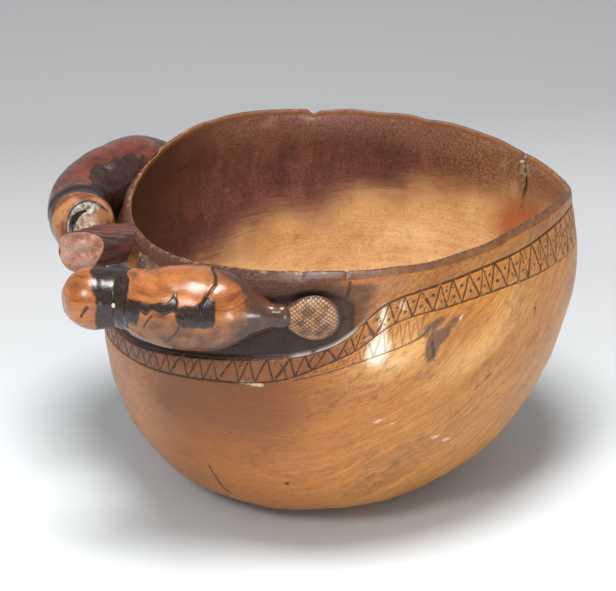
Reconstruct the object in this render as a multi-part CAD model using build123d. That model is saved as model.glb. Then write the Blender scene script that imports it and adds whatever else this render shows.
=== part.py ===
"""Carved wooden drinking bowl with two beavers lying along the rim at its handle end.

Frame: millimetres, +Z up, origin at the centre of the flat foot.  The handle end is at -X.
The bowl is egg shaped in plan, blunt at the handle end, and leans away from the handle.
Angles around the bowl are measured from +X towards +Y, so the handle lug is at 180 degrees.
"""
import os
from math import atan2, cos, pi, radians, sin
from build123d import *

os.makedirs("parts", exist_ok=True)

# Bowl, driving dimensions
HEIGHT = 95.3            # mean height of the rim
HALF_LENGTH = 75.3       # half length at the belly
RIM_HALF_LENGTH = 67.9   # half length at the rim, where the wall has turned back in
FOOT_HALF_LENGTH = 21.0
BELLY_AT = 0.673         # relative height of the belly
BELLY_FULLNESS = 1.7     # exponents of the curve from the foot to the belly
FOOT_SPREAD = 0.4
WIDTH_RATIO = 0.918      # width over length, in plan
EGG = 0.185              # how much the nose end narrows
LEAN = 12.3              # how far the rim's middle stands away from the handle
LEAN_CURVE = 0.91
RIM_WAVES = {2: (-3.3, -0.4), 3: (0.5, -0.5), 4: (-1.2, 0.0), 5: (-0.3, -0.3)}
RIM_WALL = 2.6
LOW_WALL = 5.0
FLOOR = 6.5

# Beavers: spine points from snout to tail root, each with its radius.  Both lie at one level.
SPINE_LEVEL = 85.0
FRONT_HEAD_SPINE = [
    ((-87.0, -32.6), 1.8),
    ((-86.2, -32.7), 4.2),
    ((-83.6, -33.2), 7.2),
    ((-79.0, -34.0), 8.6),
    ((-73.5, -34.9), 8.7),
]
FRONT_BODY_SPINE = [
    ((-67.5, -36.8), 9.4),
    ((-61.5, -40.8), 11.2),
    ((-52.0, -46.3), 12.9),
    ((-43.5, -51.5), 12.9),
    ((-37.5, -55.0), 10.8),
    ((-32.0, -58.2), 7.0),
    ((-28.5, -60.3), 3.4),
]
REAR_HEAD_SPINE = [
    ((-69.6, 8.6), 3.0),
    ((-69.6, 10.5), 6.0),
    ((-69.8, 15.5), 9.0),
    ((-70.2, 22.5), 10.0),
    ((-69.6, 29.5), 10.2),
]
REAR_BODY_SPINE = [
    ((-67.0, 35.5), 10.8),
    ((-63.0, 39.6), 12.2),
    ((-55.5, 44.2), 13.4),
    ((-46.0, 49.8), 13.0),
    ((-38.5, 54.4), 10.8),
    ((-32.5, 57.9), 7.0),
    ((-28.5, 60.3), 3.4),
]
EYE_STATION = (-74.5, -34.7)
EYE_ABOVE_SPINE = 2.4
EYE_SIDE = 8.0
EYE_RADIUS = 0.7
EYE_DEPTH = 2.0

TAIL_CENTRE = (-19.8, -64.0, SPINE_LEVEL + 0.3)   # the paddle's middle, on the wall
TAIL_OUTWARD = (-0.33, -0.94, 0.0)                 # direction that its face looks in
TAIL_REACH = 15.0                                  # how far the paddle's outline is carried each way
TAIL_LENGTH = 17.5
TAIL_HEIGHT = 14.0
TAIL_THICKNESS = 2.2

# Handle lug
LUG_TIP_X = -82.0
LUG_ROOT_X = -52.0
LUG_LEVEL = 85.6
LUG_WIDTH = 13.0
LUG_HEIGHT = 11.6

# Web between the rim and the near beaver's back
WEB_TOP = 91.0
WEB_BOTTOM = 78.0
WEB_PLAN = [(-50.0, -6.0), (-58.5, -8.0), (-60.5, -22.0), (-60.0, -34.0), (-44.0, -46.0), (-36.0, -36.0)]

# Filled drying crack in the rim
CRACK_ANGLE = 21.0
CRACK_TOP_WIDTH = 2.4
CRACK_DEPTH = 17.0
FILL_RECESS = 2.2        # the filler stops short of the rim and leaves a notch
FILL_TIP = 0.6

SECTION_POINTS = 28
OUTSIDE_LEVELS = [0.0, 0.006, 0.02, 0.045, 0.08, 0.13, 0.2, 0.29, 0.4, 0.52, 0.64, 0.76, 0.87, 0.96, 1.08]
INSIDE_LEVELS = [0.015, 0.04, 0.08, 0.14, 0.22, 0.32, 0.43, 0.55, 0.67, 0.79, 0.9, 1.0, 1.12]


def half_length(v):
    """Half length of the bowl's outside at relative height v."""
    if v < BELLY_AT:
        t = (BELLY_AT - v) / BELLY_AT
        return FOOT_HALF_LENGTH + (HALF_LENGTH - FOOT_HALF_LENGTH) * (1 - t ** BELLY_FULLNESS) ** FOOT_SPREAD
    s = (v - BELLY_AT) / (1 - BELLY_AT)
    return HALF_LENGTH - (HALF_LENGTH - RIM_HALF_LENGTH) * s ** 2


def wall_point(v, angle, half):
    """Point of an egg-shaped section at relative height v, with the given half length."""
    x = LEAN * max(v, 0.0) ** LEAN_CURVE + half * cos(angle)
    y = WIDTH_RATIO * half * sin(angle) * (1 - EGG * v * cos(angle))
    return (x, y, HEIGHT * v)


def rim_height(angle):
    """Height of the wavy rim at an angle around the bowl."""
    waves = (c * cos(n * angle) + s * sin(n * angle) for n, (c, s) in RIM_WAVES.items())
    return HEIGHT + sum(waves)


def egg_wire(v, half):
    """Closed smooth section of the bowl."""
    angles = [2 * pi * i / SECTION_POINTS for i in range(SECTION_POINTS)]
    return Wire([Edge.make_spline([wall_point(v, a, half) for a in angles], periodic=True)])


def outside_solid(grow=0.0):
    """The bowl's outside as a full solid, taller than the rim; grow thickens it all round."""
    return Solid.make_loft([egg_wire(v, half_length(v) + grow) for v in OUTSIDE_LEVELS])


def inside_solid():
    """The hollow of the bowl, taller than the rim."""
    wires = []
    for u in INSIDE_LEVELS:
        wall = RIM_WALL + (LOW_WALL - RIM_WALL) * (1 - min(u, 1.0)) ** 0.6
        v = FLOOR / HEIGHT + u * (1 - FLOOR / HEIGHT)
        wires.append(egg_wire(v, half_length(u) - wall))
    return Solid.make_loft(wires)


def rim_cutter():
    """Everything above the wavy rim, as a ring that covers the wall."""
    angles = [2 * pi * i / SECTION_POINTS for i in range(SECTION_POINTS)]

    def rim_edge(half):
        points = []
        for a in angles:
            x, y, _ = wall_point(1.0, a, half)
            points.append((x, y, rim_height(a)))
        return Edge.make_spline(points, periodic=True)

    ring = Face.make_surface_from_curves(rim_edge(0.7 * RIM_HALF_LENGTH), rim_edge(1.25 * RIM_HALF_LENGTH))
    return Solid.extrude(ring, Vector(0, 0, 0.25 * HEIGHT))


def crack_wedge(top_gap, widen):
    """A wedge through the wall at the crack, starting top_gap below the rim."""
    angle = radians(CRACK_ANGLE)
    x, y, _ = wall_point(1.0, angle, RIM_HALF_LENGTH)
    outward = atan2(y, x - LEAN)
    radial = Vector(cos(outward), sin(outward), 0)
    plane = Plane(origin=(x, y, rim_height(angle)), x_dir=(-sin(outward), cos(outward), 0), z_dir=radial)
    half_top = (CRACK_TOP_WIDTH / 2) * (1 - top_gap / CRACK_DEPTH) + widen
    outline = Polyline(
        (-half_top, -top_gap + 8 * widen),
        (half_top, -top_gap + 8 * widen),
        (FILL_TIP / 2, -CRACK_DEPTH),
        (-FILL_TIP / 2, -CRACK_DEPTH),
        close=True,
    )
    reach = 15.0
    face = plane * make_face(outline)
    return Solid.extrude(face.face().moved(Location(-radial * reach)), radial * (2 * reach))


def tube_along(spine, first, last):
    """Smooth solid through the round stations of a spine, from index first to index last."""
    wires = []
    for i in range(first, last + 1):
        (x, y), radius = spine[i]
        x0, y0 = spine[max(i - 1, 0)][0]
        x1, y1 = spine[min(i + 1, len(spine) - 1)][0]
        plane = Plane(origin=(x, y, SPINE_LEVEL), x_dir=(0, 0, 1), z_dir=(x1 - x0, y1 - y0, 0))
        wires.append((plane * Circle(radius)).wire())
    return Solid.make_loft(wires)


def beaver_solids(head_spine, body_spine):
    """Head and body of a beaver; they meet at the body's first station."""
    spine = head_spine + body_spine
    neck = len(head_spine)
    return tube_along(spine, 0, neck), tube_along(spine, neck, len(spine) - 1)


def tail_paddle(outside, grown):
    """Oval paddle lying on the near wall, as a curved plate of even thickness."""
    outward = Vector(*TAIL_OUTWARD).normalized()
    start = Vector(*TAIL_CENTRE) - outward * TAIL_REACH
    along_wall = (-outward.Y, outward.X, 0)
    oval = Plane(origin=start, x_dir=along_wall, z_dir=outward) * Ellipse(TAIL_LENGTH / 2, TAIL_HEIGHT / 2)
    return (grown & extrude(oval, amount=2 * TAIL_REACH)) - outside


def far(shape):
    """Mirror image across the bowl's long axis."""
    return shape.mirror(Plane.XZ)


def largest(shape):
    """The largest solid of a cut shape, without the crumbs that the cut leaves."""
    return max(shape.solids(), key=lambda solid: solid.volume)


outside = outside_solid()
paddle_skin = outside_solid(grow=TAIL_THICKNESS)

bowl = outside - inside_solid() - rim_cutter()
bowl_shell = largest(bowl - crack_wedge(0.0, 0.4))
crack_fill = largest((bowl & crack_wedge(FILL_RECESS, 0.0)) - bowl_shell)

front_head, front_tube = beaver_solids(FRONT_HEAD_SPINE, FRONT_BODY_SPINE)
rear_head, rear_tube = beaver_solids(REAR_HEAD_SPINE, REAR_BODY_SPINE)
front_body = largest(front_tube - outside)
rear_body = largest(rear_tube - outside)
front_tail = largest(tail_paddle(outside, paddle_skin) - front_tube)
rear_tail = far(front_tail)

lug_sections = []
for share, swell in ((0.0, 1.05), (0.35, 0.98), (0.75, 1.0), (0.93, 0.92), (1.0, 0.72)):
    lug_x = LUG_ROOT_X + share * (LUG_TIP_X - LUG_ROOT_X)
    lug_plane = Plane(origin=(lug_x, 0, LUG_LEVEL), x_dir=(0, 1, 0), z_dir=(-1, 0, 0))
    section = RectangleRounded(LUG_WIDTH * swell, LUG_HEIGHT * swell, 0.32 * LUG_HEIGHT * swell)
    lug_sections.append((lug_plane * section).wire())
handle_lug = largest(Solid.make_loft(lug_sections) - outside)

web_face = Pos(0, 0, WEB_BOTTOM) * make_face(Polyline(*WEB_PLAN, close=True))
front_web = largest(extrude(web_face, amount=WEB_TOP - WEB_BOTTOM) - outside - front_tube - front_head)

eye_pegs = []
for side in (-1, 1):
    inner_end = (EYE_STATION[0], EYE_STATION[1] + side * (EYE_SIDE - EYE_DEPTH), SPINE_LEVEL + EYE_ABOVE_SPINE)
    eye_pegs.append(Plane(origin=inner_end, z_dir=(0, side, 0)) * extrude(Circle(EYE_RADIUS), amount=EYE_DEPTH))
for peg in eye_pegs:
    front_head = front_head - peg
front_eyes = Compound([peg.solid() for peg in eye_pegs])

nodes = {
    "bowl_shell": bowl_shell,
    "rim_crack_fill": crack_fill,
    "handle_lug": handle_lug,
    "front_web": front_web,
    "front_beaver_body": front_body,
    "front_beaver_head": front_head,
    "front_beaver_eyes": front_eyes,
    "front_beaver_tail": front_tail,
    "rear_beaver_body": rear_body,
    "rear_beaver_head": rear_head,
    "rear_beaver_tail": rear_tail,
}
for name, shape in nodes.items():
    export_step(shape, f"parts/{name}.step")
    size = shape.bounding_box().size
    print(f"{name:20s} volume {shape.volume:10.1f} mm3   size {size.X:6.1f} {size.Y:6.1f} {size.Z:6.1f}")
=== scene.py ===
from functools import reduce
from math import cos, pi, radians, sin

import bpy
import numpy as np
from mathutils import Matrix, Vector


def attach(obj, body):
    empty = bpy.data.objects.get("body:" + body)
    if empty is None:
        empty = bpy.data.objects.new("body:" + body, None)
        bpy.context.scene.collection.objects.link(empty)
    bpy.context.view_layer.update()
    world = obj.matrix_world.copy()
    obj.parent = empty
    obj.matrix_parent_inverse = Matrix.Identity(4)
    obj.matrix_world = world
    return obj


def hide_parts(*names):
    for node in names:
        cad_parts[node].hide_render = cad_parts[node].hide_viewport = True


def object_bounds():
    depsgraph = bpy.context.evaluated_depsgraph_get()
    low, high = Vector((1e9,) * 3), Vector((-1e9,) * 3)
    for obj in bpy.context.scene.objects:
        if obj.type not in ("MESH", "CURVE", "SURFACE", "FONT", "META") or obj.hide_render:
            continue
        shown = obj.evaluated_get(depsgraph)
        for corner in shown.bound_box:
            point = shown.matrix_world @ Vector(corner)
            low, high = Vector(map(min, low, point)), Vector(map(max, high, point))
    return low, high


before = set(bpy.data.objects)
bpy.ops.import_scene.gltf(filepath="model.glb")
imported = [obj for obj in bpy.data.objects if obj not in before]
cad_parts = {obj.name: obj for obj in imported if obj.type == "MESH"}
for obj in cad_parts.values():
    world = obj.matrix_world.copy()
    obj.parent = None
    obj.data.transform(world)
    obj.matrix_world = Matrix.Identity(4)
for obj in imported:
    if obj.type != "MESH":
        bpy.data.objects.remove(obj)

cad_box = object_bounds()
MM = 0.001

# ---------------------------------------------------------------- bowl, driving dimensions
HEIGHT = 95.3
HALF_LENGTH = 75.3
RIM_HALF_LENGTH = 67.9
FOOT_HALF_LENGTH = 21.0
BELLY_AT = 0.673
BELLY_FULLNESS = 1.7
FOOT_SPREAD = 0.4
WIDTH_RATIO = 0.918
EGG = 0.185
LEAN = 12.3
LEAN_CURVE = 0.91
RIM_WAVES = {2: (-3.3, -0.4), 3: (0.5, -0.5), 4: (-1.2, 0.0), 5: (-0.3, -0.3)}
RIM_WALL = 2.4
LOW_WALL = 5.0
FLOOR = 6.5

BOWL_COLUMNS = 616
LATTICE_CELLS = 80       # zigzag cells round the band, and the radius they are spaced out on
BAND_RADIUS = 68.0
UNROLLED_RADIUS = 62.0   # mm of wall for each radian, where marks are laid out on the unrolled wall
CRACK_AT = 21.0          # degrees from the nose to the filled crack through the rim
OUTSIDE, BEVEL, INNER_EDGE, INSIDE = 0.0, 0.5, 0.75, 1.0   # zones of the bowl's surface
WEB_FOOT = 79.4          # height of the underside of the ledge behind the front beaver
LUG_MIDDLE = (-67.0, 0.0, 85.6)
FACE_CENTRE = (-69.6, 86.6)   # x and z of the broken end of the rear head


# ---------------------------------------------------------------- small numeric helpers
def smoothstep(low, high, x):
    """0 below low, 1 above high, smooth between; works with low > high as well."""
    t = np.clip((x - low) / (high - low), 0.0, 1.0)
    return t * t * (3 - 2 * t)


def smooth_curve(points):
    """A smooth function through a few (x, y) points, level beyond both ends."""
    xs, ys = np.array(points, float).T
    slopes = np.gradient(ys, xs)

    def value(x):
        x = np.clip(np.asarray(x, float), xs[0], xs[-1])
        i = np.clip(np.searchsorted(xs, x, side="right") - 1, 0, len(xs) - 2)
        h = xs[i + 1] - xs[i]
        t = (x - xs[i]) / h
        return ((1 + 2 * t) * (1 - t) ** 2 * ys[i] + t * (1 - t) ** 2 * h * slopes[i]
                + t * t * (3 - 2 * t) * ys[i + 1] + t * t * (t - 1) * h * slopes[i + 1])

    return value


def ripple(points, size, seed, waves=14):
    """Smooth pseudo-random field of about -1 to 1 over points in mm, with features of that size."""
    rng = np.random.default_rng(seed)
    total = np.zeros(points.shape[:-1])
    for _ in range(waves):
        direction = rng.normal(size=3)
        direction *= rng.uniform(0.6, 1.6) * 2 * pi / (size * 2 * np.linalg.norm(direction))
        total += np.sin(points @ direction + rng.uniform(0, 2 * pi))
    return total / np.sqrt(waves)


def normals_of(grid, flip=False):
    """Unit normals of a grid of points whose columns go round; rows then columns."""
    around = np.roll(grid, -1, axis=1) - np.roll(grid, 1, axis=1)
    along = np.gradient(grid, axis=0)
    n = np.cross(along, around) if flip else np.cross(around, along)
    return n / np.maximum(np.linalg.norm(n, axis=-1, keepdims=True), 1e-9)


def distance_to_line(points, ends):
    """Distance in mm from points (..., 2) to a polyline of 2-D points."""
    best = np.full(points.shape[:-1], 1e9)
    for a, b in zip(ends[:-1], ends[1:]):
        a, b = np.array(a, float), np.array(b, float)
        t = np.clip(((points - a) @ (b - a)) / ((b - a) @ (b - a)), 0, 1)
        best = np.minimum(best, np.linalg.norm(points - a - t[..., None] * (b - a), axis=-1))
    return best


# ---------------------------------------------------------------- bowl surface
def half_length(v):
    """Half length of the bowl's outside at relative height v."""
    v = np.asarray(v, float)
    t = np.clip((BELLY_AT - v) / BELLY_AT, 0, 1)
    s = np.maximum(v - BELLY_AT, 0) / (1 - BELLY_AT)
    low = FOOT_HALF_LENGTH + (HALF_LENGTH - FOOT_HALF_LENGTH) * (1 - t ** BELLY_FULLNESS) ** FOOT_SPREAD
    high = HALF_LENGTH - (HALF_LENGTH - RIM_HALF_LENGTH) * s ** 2
    return np.where(v < BELLY_AT, low, high)


def egg_points(z, angle, half):
    """Points of the egg-shaped sections at height z, with the given half length."""
    v = np.maximum(z / HEIGHT, 0)
    x = LEAN * v ** LEAN_CURVE + half * np.cos(angle)
    y = WIDTH_RATIO * half * np.sin(angle) * (1 - EGG * v * np.cos(angle))
    return np.stack(np.broadcast_arrays(x, y, z), axis=-1)


def on_wall(z, angle, out=0.0):
    """Points on the outside at height z, moved outwards by out."""
    return egg_points(z, angle, half_length(z / HEIGHT) + out)


def rim_height(angle):
    waves = [c * np.cos(n * angle) + s * np.sin(n * angle) for n, (c, s) in RIM_WAVES.items()]
    return HEIGHT + sum(waves)


def wall_thickness(u):
    """Thickness of the wall at a relative height above the floor inside."""
    return RIM_WALL + (LOW_WALL - RIM_WALL) * (1 - np.clip(u, 0, 1)) ** 0.6


def kept_outside(points, depth):
    """Pushes points that are further inside the bowl's wall than depth back out to it."""
    v = np.maximum(points[..., 2] / HEIGHT, 0)
    x = points[..., 0] - LEAN * v ** LEAN_CURVE
    y = points[..., 1] / WIDTH_RATIO
    angle = np.arctan2(y, x)
    for _ in range(5):
        angle = np.arctan2(y / (1 - EGG * v * np.cos(angle)), x)
    half = np.hypot(x, y / (1 - EGG * v * np.cos(angle)))
    pushed = np.maximum(half, half_length(v) - depth)
    return egg_points(points[..., 2], angle, pushed)


# Engraved lines, as drops below the rim against the angle from the nose of the egg, in degrees.
# The band hangs low under the beavers and climbs past their tails to run close under the rim.
BAND_TOP = smooth_curve([
    (0, 5.2), (22, 5.2), (48, 6.3), (77, 6.5), (88, 7.5), (94, 8.7), (98, 10.6), (101, 13.2),
    (105, 17.8), (108, 20.4), (112, 22.5), (116, 23.9), (124, 25.1), (138, 26.9), (157, 29.2),
    (168, 30.4), (180, 30.6)])
BAND_MIDDLE = smooth_curve([
    (0, 14.5), (32, 16.8), (50, 15.9), (66, 14.0), (80, 13.8), (92, 14.8), (96, 16.4), (104, 23.0),
    (111, 27.0), (118, 31.0), (124, 32.9), (138, 34.1), (156, 35.4), (168, 36.1), (180, 36.3)])
BAND_LOW = smooth_curve([
    (0, 21.0), (70, 17.6), (80, 17.2), (90, 21.8), (102, 26.2), (109, 28.8), (118, 31.9), (124, 33.2),
    (138, 34.4), (156, 35.7), (168, 36.4), (180, 36.6)])
TAIL_PANEL_TOP = smooth_curve([
    (98, 12.0), (102, 11.0), (104, 9.0), (106, 6.8), (109, 5.2), (114, 4.2), (120, 4.6), (126, 6.0),
    (180, 9.0)])


def side_of(angle):
    """Degrees away from the nose of the egg, 0 to 180 on either side."""
    return np.degrees(np.arccos(np.cos(angle)))


# height above which the inside is stained dark, against the angle from the nose
INNER_STAIN = smooth_curve([
    (0, 75), (20, 75), (40, 72), (60, 66), (87, 57), (112, 46), (130, 32), (150, 24), (180, 20)])
# marks on the unrolled wall; the first two numbers of a spot are degrees around and height
CRACKS = [
    [(-139.6, 27), (-139.0, 24), (-138.2, 20), (-137.5, 16), (-136.0, 12)],
    [(-103.0, 9), (-101.5, 6), (-100.0, 3)],
    [(-107.2, 97), (-106.9, 94), (-107.3, 91)],
    [(-84.6, 74.0), (-84.0, 70.5), (-83.8, 68.0)],
]
SCRATCHES = [[(-97.5, 50.3), (-91.5, 48.3)], [(-80.0, 39.3), (-76.0, 37.0)],
             [(-74.8, 36.2), (-71.0, 33.8)], [(-129.5, 63.7), (-124.6, 63.5)]]
# pits: degrees, height, radius
PITS = [(-116, 24, 0.8), (-90, 37, 0.7), (-71, 30, 0.5), (-131, 44, 0.5), (-60, 50, 0.5),
        (-52, 71, 0.5)]
# blots: strength, degrees, height, half width, half height, rise for each mm across
STAINS = [
    (1.3, -84.6, 72.2, 1.6, 3.8, 0.4), (1.0, -80.5, 76.6, 3.2, 1.7, 0.9), (0.6, -68, 55, 5.0, 1.6, 0.8),
    (0.55, -84, 79.5, 4.5, 1.6, 0.3), (0.6, -28, 86.0, 2.6, 1.6, 0), (0.5, -50, 62, 7.0, 1.4, 0.7),
    (0.32, -85, 75, 6.5, 5.5, 0.3), (0.32, -64, 64, 12, 5, 0.6), (0.45, -88, 45, 16, 1.6, 0.1),
    (0.45, -112, 41, 9, 1.2, -0.05), (0.4, -76, 26, 12, 1.5, 0.2),
]
BLEACHED = [(0.9, -80.5, 76.4, 1.5, 1.1, 0.9), (0.8, -77.5, 78.8, 1.3, 0.9, 0.9),
            (0.6, -83.5, 77.8, 1.4, 0.7, 0.9), (0.6, -101, 78.6, 2.2, 1.2, 1.0)]
# pale patches on the wall: rubbed wood, and a painted glow of light round the painted highlights
RUBBED_AND_PAINTED_GLOW = [(1, -94, 71, 13, 8, 0.35), (0.8, -72, 66, 16, 7, 0.45), (0.5, -60, 80, 10, 6, 0.3)]
# painted highlights: near-white spots where the low front lamp shines on the wall
PAINTED_HIGHLIGHTS = [(1.6, -98.2, 74.5, 3.0, 4.2, 0.2), (0.9, -97.6, 84.0, 1.5, 4.2, 0),
        (0.5, -93, 69.5, 5.0, 2.6, 0.5), (0.7, -93.0, 86.5, 1.4, 1.8, 0)]
INNER_PALE = [(1, 99, 93, 4.5, 3.5, 0), (1, 88, 94, 3.0, 1.5, 0), (1, 29, 85, 2.2, 3.2, 0),
              (1, 25.0, 77, 2.4, 4.5, 0), (1, 19, 86, 1.6, 4.0, 0), (1, 62, 66, 9, 2.0, 0)]
INNER_ORANGE = [(1.35, 19, 65, 12.0, 12.0, 0)]
# dips worn in the rim: degrees, half width in degrees, depth, sharpness
RIM_DIPS = [
    (86.5, 1.3, 1.3, 4), (84.5, 2.6, 0.5, 2), (143.0, 2.2, 0.6, 2), (21.0, 0.9, 1.8, 2),
    (118.0, 5.0, 0.5, 2), (183.0, 3.5, -0.6, 2), (205.0, 5.0, 0.4, 2), (240.0, 1.0, 0.35, 2),
    (252.0, 0.5, 0.5, 2), (318.0, 3.0, 0.3, 2), (55.0, 3.0, 0.4, 2), (-3.0, 4.0, 0.35, 2)]


def unrolled(degrees_at, z):
    """A spot on the unrolled wall, in mm."""
    return radians(degrees_at) * UNROLLED_RADIUS, z


def blots(place, table):
    """Soft spots on the unrolled wall, added up."""
    total = np.zeros(place.shape[:-1])
    for strength, degrees_at, z, half_width, half_height, tilt in table:
        middle, z = unrolled(degrees_at, z)
        across = place[..., 0] - middle
        rise = place[..., 1] - z - tilt * across
        total += strength * np.exp(-(across / half_width) ** 2 - (rise / half_height) ** 2)
    return total


def engraving(height, angle):
    """Where the engraved pattern lies: cell number, place across the band, and its masks."""
    side = side_of(angle)
    drop = rim_height(angle) - height
    top, middle, low = BAND_TOP(side), BAND_MIDDLE(side), BAND_LOW(side)
    cell = angle / (2 * pi) * LATTICE_CELLS + 0.10 * np.sin(31 * angle)
    cell = cell + 0.04 * np.sin(53 * angle + 1.0) + 0.015 * np.sin(97 * angle)
    wedge_ends = smoothstep(84, 92, side) * smoothstep(119, 115, side)
    across = (middle - drop) / np.maximum(middle - top, 0.5)
    wedge = (low - drop) / np.maximum(low - middle, 0.5)
    return {
        "cell": cell,
        "across": across,
        "wedge": wedge,
        "band_mm": middle - top,
        "wedge_mm": np.maximum(low - middle, 0.0) * wedge_ends,
        "dots": smoothstep(112, 100, side),
    }


def groove(distance, half_width, depth):
    """A rounded cut of that half width and depth."""
    return -depth * smoothstep(half_width, 0.0, distance)


def band_cuts(cuts, pitch):
    """Depth of the engraved lines at each point."""
    t, c = cuts["across"], cuts["cell"]
    inside = smoothstep(-0.02, 0.03, t) * smoothstep(1.02, 0.97, t)
    slope = np.cos(np.arctan2(pitch / 2, np.maximum(cuts["band_mm"], 1.0)))
    rising = np.abs((c - t / 2 + 0.5) % 1.0 - 0.5) * pitch * slope
    falling = np.abs((c + t / 2 + 0.5) % 1.0 - 0.5) * pitch * slope
    depth = groove(np.minimum(rising, falling), 0.55, 0.28) * inside
    for line, width, deep in ((0.0, 0.6, 0.3), (1.0, 0.8, 0.45)):
        depth = np.minimum(depth, groove(np.abs(t - line) * cuts["band_mm"], width, deep))
    return depth


# ---------------------------------------------------------------- mesh making
def drawn_in(points):
    """Draws in what comes near the sides of the part's box, to keep the wood's ripples inside it."""
    points = points.copy()
    margin, share = 0.6, 0.6
    low, high = [np.array(corner) / MM for corner in cad_box]
    for axis in (0, 1):
        points[..., axis] -= share * np.maximum(points[..., axis] - high[axis] + margin, 0)
        points[..., axis] += share * np.maximum(low[axis] + margin - points[..., axis], 0)
    return points


def mesh_piece(name, points, faces, attributes, uvs=None):
    """A smooth mesh object in metres from points in mm.

    faces is a list of integer arrays, one row per face; uvs maps a layer's name to the same
    layout of (u, v) pairs; attributes maps a name to one number or vector per point.
    """
    loops = np.concatenate([f.ravel() for f in faces]).astype(np.int32)
    totals = np.concatenate([np.full(len(f), f.shape[1]) for f in faces]).astype(np.int32)
    starts = (np.cumsum(totals) - totals).astype(np.int32)
    mesh = bpy.data.meshes.new(name)
    mesh.vertices.add(len(points))
    mesh.vertices.foreach_set("co", (drawn_in(points) * MM).astype(np.float32).ravel())
    mesh.loops.add(len(loops))
    mesh.loops.foreach_set("vertex_index", loops)
    mesh.polygons.add(len(totals))
    mesh.polygons.foreach_set("loop_start", starts)
    mesh.polygons.foreach_set("loop_total", totals)
    mesh.update(calc_edges=True)
    mesh.polygons.foreach_set("use_smooth", np.ones(len(totals), bool))
    for key, values in attributes.items():
        vector = values.ndim == 2
        layer = mesh.attributes.new(key, "FLOAT_VECTOR" if vector else "FLOAT", "POINT")
        layer.data.foreach_set("vector" if vector else "value", values.astype(np.float32).ravel())
    for key, blocks in (uvs or {}).items():
        layer = mesh.uv_layers.new(name=key)
        flat = np.concatenate([b.reshape(-1, 2) for b in blocks])
        layer.data.foreach_set("uv", flat.astype(np.float32).ravel())
    mesh.validate()
    piece = bpy.data.objects.new(name, mesh)
    bpy.context.scene.collection.objects.link(piece)
    return piece


def ringed_piece(name, rings, attributes, flip=False, uv_fields=None, uv_wrap=0.0):
    """A closed mesh through rings of points, rows then columns, with a pole at each end.

    uv_fields maps a layer's name to (u, v) grids; uv_wrap is what u gains over one turn.
    """
    rows, cols = rings.shape[:2]
    index = np.arange(rows * cols).reshape(rows, cols)
    ahead = np.roll(index, -1, axis=1)
    quads = np.stack([index[:-1], ahead[:-1], ahead[1:], index[1:]], axis=-1).reshape(-1, 4)
    first, last = rows * cols, rows * cols + 1
    start_cap = np.stack([np.full(cols, first), ahead[0], index[0]], axis=-1)
    end_cap = np.stack([np.full(cols, last), index[-1], ahead[-1]], axis=-1)
    if flip:
        quads, start_cap, end_cap = quads[:, ::-1], start_cap[:, ::-1], end_cap[:, ::-1]

    def with_poles(field):
        flat = field.reshape(rows * cols, -1)
        poles = np.stack([field[0].reshape(cols, -1).mean(0), field[-1].reshape(cols, -1).mean(0)])
        whole = np.concatenate([flat, poles])
        return whole if field.ndim == 3 else whole[:, 0]

    uvs = {}
    for key, (u, v) in (uv_fields or {}).items():
        u_ahead = np.roll(u, -1, axis=1)
        u_ahead[:, -1] += uv_wrap
        v_ahead = np.roll(v, -1, axis=1)
        here, there = np.stack([u, v], -1), np.stack([u_ahead, v_ahead], -1)
        block = np.stack([here[:-1], there[:-1], there[1:], here[1:]], axis=2).reshape(-1, 4, 2)
        caps = [np.stack([here[0], there[0], here[0]], 1), np.stack([here[-1], here[-1], there[-1]], 1)]
        if flip:
            block, caps = block[:, ::-1], [cap[:, ::-1] for cap in caps]
        uvs[key] = [block, *caps]
    return mesh_piece(name, with_poles(rings), [quads, start_cap, end_cap],
                      {key: with_poles(field) for key, field in attributes.items()}, uvs)


# ---------------------------------------------------------------- shader helpers
def colour(red, green, blue):
    """Linear colour from 0 to 255 display values."""
    def linear(c):
        c /= 255
        return c / 12.92 if c <= 0.04045 else ((c + 0.055) / 1.055) ** 2.4
    return (linear(red), linear(green), linear(blue), 1.0)


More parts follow.
